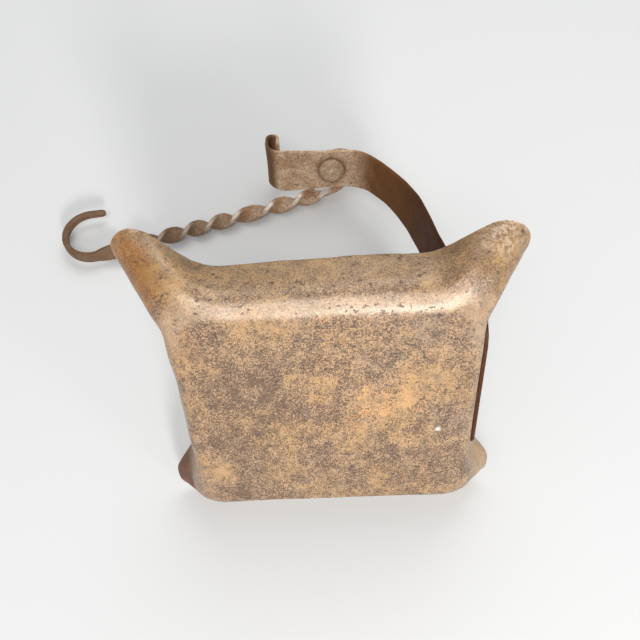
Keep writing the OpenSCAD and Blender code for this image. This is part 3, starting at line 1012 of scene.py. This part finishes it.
# Where they fade in along X, on the lying lamp
SHOULDER_X = (18, 32)
DARK_X = (33, 56)
FOOT_BAND_X = (49, 56)
TAIL_SHADE_X = (-20, -24.5)
STRAP_RAGGED = 12
STRAP_ROUGHNESS = 0.5
GRAIN_ROUGHNESS = 0.3
STRAP_SPECULAR = 0.12
STRAP_DENTS = (0.4, 0.3)
STRAP_GRAIN_RELIEF = (0.12, 0.45)

# Tones of rivets and swivel
RIVET_DULL = (0.27, 0.165, 0.085)
RIVET_PALE = (0.56, 0.385, 0.24)
RIVET_STAIN = (0.19, 0.095, 0.042)
CROWN_HIGHLIGHT_PALE = (0.80, 0.59, 0.38)
RIVET_EDGE = (0.72, 0.53, 0.37)
RIVET_ROUGHNESS = 0.32
RIVET_DENTS = (0.35, 0.5)
GRAIN_RELIEF = (0.12, 0.5)

# Tones of the hanger
BAR_DULL = (0.32, 0.195, 0.110)
BAR_PALE = (0.64, 0.46, 0.315)
BAR_RUST = (0.37, 0.165, 0.058)
BAR_FAR = (0.095, 0.045, 0.018)
BAR_PIT = (0.065, 0.038, 0.022)
BAR_WORN_GLINT = (0.80, 0.72, 0.63)
# The bar is darker towards its hook, along X
BAR_FAR_X = (2, -78)
BAR_RAGGED = 24
BAR_ROUGHNESS = 0.58
WORN_GLINT_SMOOTHNESS = 0.28
WORN_GLINT_METAL = 0.5
BAR_SPECULAR = 0.35
BAR_DENTS = (0.3, 0.35)


def pan_tones(n, broad, side_share, painted_highlight):
    """The pan's pale tones, by region, and the painted highlight along its upper bend."""
    mottle = n.noise(2.4, 4, 0.62, (3, 8, 1), (1, 1, 0.72))
    tone = n.mix(n.band(broad, 0.38, 0.62), PALE_TAN, WARM_TAN)
    tone = n.tint(tone, n.band(mottle, 0.50, 0.62), 0.6, ORANGE_TAN)
    tone = n.tint(tone, n.band(mottle, 0.48, 0.36), 0.75, BROWN_TAN)
    tone = n.tint(tone, side_share, 0.65, SIDE_TAN)
    rimward = n.patchy(n.band(n.height(), *RIM_HEIGHT), 0.62, 0.40, 8, 4, 0.6, (7, 1, 2))
    tone = n.tint(tone, rimward, 0.5, RIM_OLIVE)
    orange = n.patchy(n.near(*ORANGE_SPOT), 0.40, 0.60, 6, 5, 0.65, (1, 2, 3))
    tone = n.tint(tone, orange, 0.75, ORANGE)
    olive = n.patchy(n.near(*OLIVE_SPOT), 0.34, 0.56, 5, 4, 0.6, (6, 2, 3))
    tone = n.tint(tone, olive, 0.8, SPOUT_OLIVE)
    # Golden rust on the far upper spout's ridge, partly painted light on that lit ridge
    gold_lit_ridge = n.patchy(n.near_any(GOLD_LIT_RIDGE_SPOTS), 0.30, 0.50, 6, 4, 0.6, (5, 5, 3))
    tone = n.mix(n.capped(gold_lit_ridge, 1.3, 0.9), tone, GOLD_LIT_RIDGE)
    # Painted highlight: the upper bend is painted paler
    tone = n.tint(tone, painted_highlight, 0.38, HIGHLIGHT_PALE)
    brown = n.patchy(n.near(*BROWN_SPOT), 0.34, 0.56, 6, 4, 0.6, (1, 5, 6))
    tone = n.tint(tone, brown, 0.7, SPOUT_BROWN)
    blue = n.patchy(n.near_any(BLUE_SPOTS), 0.40, 0.56, 3.2, 5, 0.7, (9, 2, 3))
    return n.tint(tone, blue, 0.6, BLUE_GREY)


def pan_iron():
    n = Nodes("pan_iron")
    speck = n.noise(0.55, 4, 0.7, (0, 0, 0), (1, 1, 0.75))
    blot = n.noise(1.5, 5, 0.68, (6, 6, 1), (1, 1, 0.75))
    clump = n.noise(4.6, 5, 0.66, (4, 2, 9), (1, 1, 0.72))
    broad = n.noise(19, 4, 0.6, (8, 3, 0))
    side_share = n.band(n.height(), *SIDE_HEIGHT)
    # Painted highlight: the bend of the upper edge is painted paler and with fewer dark specks
    painted_highlight = n.times(n.band(n.height(), *HIGHLIGHT_ABOVE), n.band(n.height(), *HIGHLIGHT_BELOW))
    up = n.plus(n.axis("Z"), n.times(broad, HIGHLIGHT_RAGGED))
    painted_highlight = n.times(painted_highlight, n.band(up, *HIGHLIGHT_UP))
    tone = pan_tones(n, broad, side_share, painted_highlight)
    # Dark specks, fine and coarse, that crowd together in places
    crowd = n.plus(n.times(clump, 0.34), n.times(broad, 0.30))
    for spot, change in CROWDING:
        crowd = n.plus(crowd, n.times(n.near(*spot), change))
    field = n.plus(speck, crowd)
    fine = n.times(n.band(field, 0.86, 0.75), 0.95)
    coarse = n.times(n.band(n.plus(blot, crowd), 0.85, 0.74), 0.38)
    # Fewer dark specks on the side walls, and on the painted highlight of the upper bend
    clean_and_highlit = n.larger(n.times(side_share, 0.25), n.times(painted_highlight, 0.55))
    dark = n.times(n.larger(fine, coarse), n.less(1, clean_and_highlit))
    colour = n.mix(dark, tone, SPECK_BROWN)
    pits = n.band(n.noise(1.3, 3, 0.6, (5, 5, 5), (0.7, 1, 1)), 0.57, 0.66)
    pits = n.times(pits, n.band(clump, 0.54, 0.45))
    colour = n.tint(colour, pits, 0.8, PIT_BLACK)
    # The stained spout, the bare tip with a painted glint, one white fleck and the worn rim
    stained = n.times(n.near(*STAIN_SPOT), n.band(n.height(), *STAIN_HEIGHT))
    stained = n.capped(stained, 2.2, 0.9)
    stain = n.mix(n.band(n.noise(4, 4, 0.6, (2, 2, 7)), 0.40, 0.60), STAIN_DARK, STAIN_RED)
    colour = n.mix(stained, colour, stain)
    # Bare iron at the upper spout's tip by the stem, painted paler as a painted glint too
    tip = n.patchy(n.near(*TIP_GLINT_SPOT), 0.44, 0.60, 1.4, 5, 0.7, (8, 8, 2))
    colour = n.tint(colour, tip, 0.75, BARE_TIP_GLINT)
    colour = n.mix(n.near(*FLECK_SPOT), colour, FLECK_WHITE)
    colour = n.tint(colour, n.worn_edges(0.55, 0.62), 0.5, WORN_RIM)
    rough = n.plus(n.times(dark, SPECK_ROUGHNESS), n.times(clump, CLUMP_ROUGHNESS))
    rough = n.plus(rough, n.times(stained, STAIN_ROUGHNESS))
    rough = n.plus(rough, PAN_ROUGHNESS)
    relief = n.bump(n.noise(7, 5), PAN_DENTS)
    relief = n.bump(field, SPECK_RELIEF, relief)
    relief = n.bump(n.less(1, pits), PIT_RELIEF, relief)
    return n.surface(colour, rough, relief, PAN_SPECULAR, IRON_METAL)


def strap_iron():
    n = Nodes("strap_iron")
    grain = n.grain(1.0)
    cloud = n.noise(8, 4, 0.6, (3, 1, 4))
    colour = n.mix(n.band(cloud, 0.36, 0.64), STRAP_FLAT_DULL, STRAP_FLAT_PALE)
    # Along X the strap runs from its tail over the flat top and the shoulder down to the pan, and
    # it is painted darker down the shoulder: partly dark rust, partly painted shade
    along = n.plus(n.axis("X"), n.times(cloud, STRAP_RAGGED))
    colour = n.mix(n.band(along, *SHOULDER_X), colour, STRAP_SHOULDER_RUST_AND_SHADE)
    colour = n.mix(n.band(along, *DARK_X), colour, STRAP_DARK_RUST_AND_SHADE)
    colour = n.mix(n.band(n.axis("X"), *FOOT_BAND_X), colour, STRAP_FOOT)
    # Painted shade: the tail is painted darker where it bends away
    colour = n.tint(colour, n.band(n.axis("X"), *TAIL_SHADE_X), 0.9, STRAP_TAIL_SHADE)
    colour = n.tint(colour, n.band(grain, 0.54, 0.38), 0.5, STRAP_GRAIN)
    colour = n.tint(colour, n.small_pits(), 0.7, STRAP_PIT)
    colour = n.mix(n.capped(n.near(HEAD_PLACE, HEAD_SHADE_R), 3, 0.75), colour, HEAD_SHADE)
    edge = n.patchy(n.worn_edges(0.54, 0.64), 0.30, 0.52, 4, 3)
    colour = n.tint(colour, edge, 0.6, STRAP_EDGE)
    rough = n.plus(n.times(grain, GRAIN_ROUGHNESS), STRAP_ROUGHNESS)
    relief = n.bump(grain, STRAP_GRAIN_RELIEF, n.bump(n.noise(6, 5), STRAP_DENTS))
    return n.surface(colour, rough, relief, STRAP_SPECULAR)


def rivet_iron():
    n = Nodes("rivet_iron")
    grain = n.grain(0.9)
    colour = n.mix(n.band(grain, 0.36, 0.60), RIVET_DULL, RIVET_PALE)
    stain = n.band(n.noise(2.6, 5, 0.7, (2, 4, 1)), 0.48, 0.64)
    colour = n.tint(colour, stain, 0.6, RIVET_STAIN)
    # The swivel head's crown: paler iron with a painted highlight on it
    crown = n.times(n.near(HEAD_PLACE, CROWN_HIGHLIGHT_R), n.band(grain, 0.30, 0.52))
    colour = n.mix(crown, colour, CROWN_HIGHLIGHT_PALE)
    colour = n.tint(colour, n.worn_edges(0.54, 0.60), 0.4, RIVET_EDGE)
    rough = n.plus(n.times(grain, GRAIN_ROUGHNESS), RIVET_ROUGHNESS)
    relief = n.bump(grain, GRAIN_RELIEF, n.bump(n.noise(2.4), RIVET_DENTS))
    return n.surface(colour, rough, relief, metal=IRON_METAL)


def hanger_iron():
    n = Nodes("hanger_iron")
    grain = n.grain(0.8)
    colour = n.mix(n.band(grain, 0.36, 0.62), BAR_DULL, BAR_PALE)
    rust = n.band(n.noise(4.0, 4, 0.6, (6, 2, 2)), 0.44, 0.58)
    colour = n.tint(colour, rust, 0.65, BAR_RUST)
    far = n.band(n.plus(n.axis("X"), n.times(n.noise(9, 3), BAR_RAGGED)), *BAR_FAR_X)
    colour = n.tint(colour, far, 0.85, BAR_FAR)
    colour = n.tint(colour, n.small_pits(), 0.65, BAR_PIT)
    # Narrow sides worn bright, with painted glints where the strip is on edge
    worn_glint = n.patchy(n.marked(NARROW), 0.24, 0.46, 3.0, 3)
    worn_glint = n.times(worn_glint, n.less(1, n.times(far, 0.75)))
    colour = n.tint(colour, worn_glint, 0.85, BAR_WORN_GLINT)
    rough = n.less(BAR_ROUGHNESS, n.times(worn_glint, WORN_GLINT_SMOOTHNESS))
    relief = n.bump(grain, GRAIN_RELIEF, n.bump(n.noise(3), BAR_DENTS))
    return n.surface(colour, rough, relief, BAR_SPECULAR, n.times(worn_glint, WORN_GLINT_METAL))


# Stage: floor, light and camera

FLOOR_HALF = 4.0
FLOOR_COLOUR = (0.72, 0.72, 0.71, 1)
FLOOR_ROUGHNESS = 0.95
FLOOR_SPECULAR = 0.1
SKY_COLOUR = (0.95, 0.97, 1.0, 1)
SKY_STRENGTH = 0.45
LIT_PLACE = (0, 0.03, 0)
# Round area lights: name, place, size and power
LIGHTS = (
    ("overhead", (0.1, 0.5, 0.8), 0.7, 3),
    ("front", (-0.1, -0.75, 1.3), 0.6, 7),
    ("window", (0.26, -1.0, 0.52), 0.26, 9),
    ("side", (0.85, -0.75, 0.3), 0.25, 2),
)

# The camera was solved on the square pan: its place and turn are given on the standing pan's
# base plane (x right, y out of the pan's mouth, z up the base), and then tilted with the lamp.
CAMERA_PLACE = Vector((2.641, -171.696, 211.348)) * MM
CAMERA_PITCH = 43.997
CAMERA_YAW = -1.388
CAMERA_ROLL = -3.313
CAMERA_FOCAL_PX = 793.67
CAMERA_NEAREST = 0.01
IMAGE_PX = 640
SENSOR_MM = 36


def make_floor(low_z):
    mesh = bpy.data.meshes.new("floor")
    corners = ((-1, -1), (1, -1), (1, 1), (-1, 1))
    mesh.from_pydata([(x * FLOOR_HALF, y * FLOOR_HALF, low_z) for x, y in corners], [], [range(4)])
    floor = bpy.data.objects.new("floor", mesh)
    bpy.context.scene.collection.objects.link(floor)
    material = bpy.data.materials.new("floor_pale")
    material.use_nodes = True
    shader = material.node_tree.nodes["Principled BSDF"]
    shader.inputs["Base Color"].default_value = FLOOR_COLOUR
    shader.inputs["Roughness"].default_value = FLOOR_ROUGHNESS
    shader.inputs["Specular IOR Level"].default_value = FLOOR_SPECULAR
    mesh.materials.append(material)


def area_light(name, place, size, power):
    data = bpy.data.lights.new(name, "AREA")
    data.shape = "DISK"
    data.size = size
    data.energy = power
    light = bpy.data.objects.new(name, data)
    light.location = place
    aim = Vector(LIT_PLACE) - Vector(place)
    light.rotation_euler = aim.to_track_quat("-Z", "Y").to_euler()
    bpy.context.scene.collection.objects.link(light)


def make_camera():
    level_share = cos(CAMERA_PITCH)
    forward = Vector(
        (sin(CAMERA_YAW) * level_share, cos(CAMERA_YAW) * level_share, -sin(CAMERA_PITCH))
    )
    level = Vector((cos(CAMERA_YAW), -sin(CAMERA_YAW), 0))
    lift = level.cross(forward)
    right = level * cos(CAMERA_ROLL) + lift * sin(CAMERA_ROLL)
    up = lift * cos(CAMERA_ROLL) - level * sin(CAMERA_ROLL)
    turn = Matrix((right, up, -forward)).transposed().to_4x4()
    tilt = Matrix.Rotation(math.radians(-LIE_TILT), 4, "X")
    data = bpy.data.cameras.new("camera")
    data.sensor_width = SENSOR_MM
    data.lens = SENSOR_MM * CAMERA_FOCAL_PX / IMAGE_PX
    data.clip_start = CAMERA_NEAREST
    camera = bpy.data.objects.new("camera", data)
    camera.matrix_world = tilt @ Matrix.Translation(CAMERA_PLACE) @ turn
    bpy.context.scene.collection.objects.link(camera)
    bpy.context.scene.camera = camera


def make_world():
    world = bpy.data.worlds.new("studio")
    world.use_nodes = True
    background = world.node_tree.nodes["Background"]
    background.inputs["Color"].default_value = SKY_COLOUR
    background.inputs["Strength"].default_value = SKY_STRENGTH
    bpy.context.scene.world = world


def main():
    bpy.context.scene.view_settings.view_transform = "Standard"
    rivet_look = rivet_iron()
    for obj, material in (
        (make_pan(), pan_iron()),
        (make_stem(), strap_iron()),
        (make_rivets(), rivet_look),
        (make_swivel(), rivet_look),
        (make_hanger(), hanger_iron()),
    ):
        obj.data.materials.append(material)
    make_floor(cad_box[0][2])
    make_world()
    for light in LIGHTS:
        area_light(*light)
    make_camera()


main()
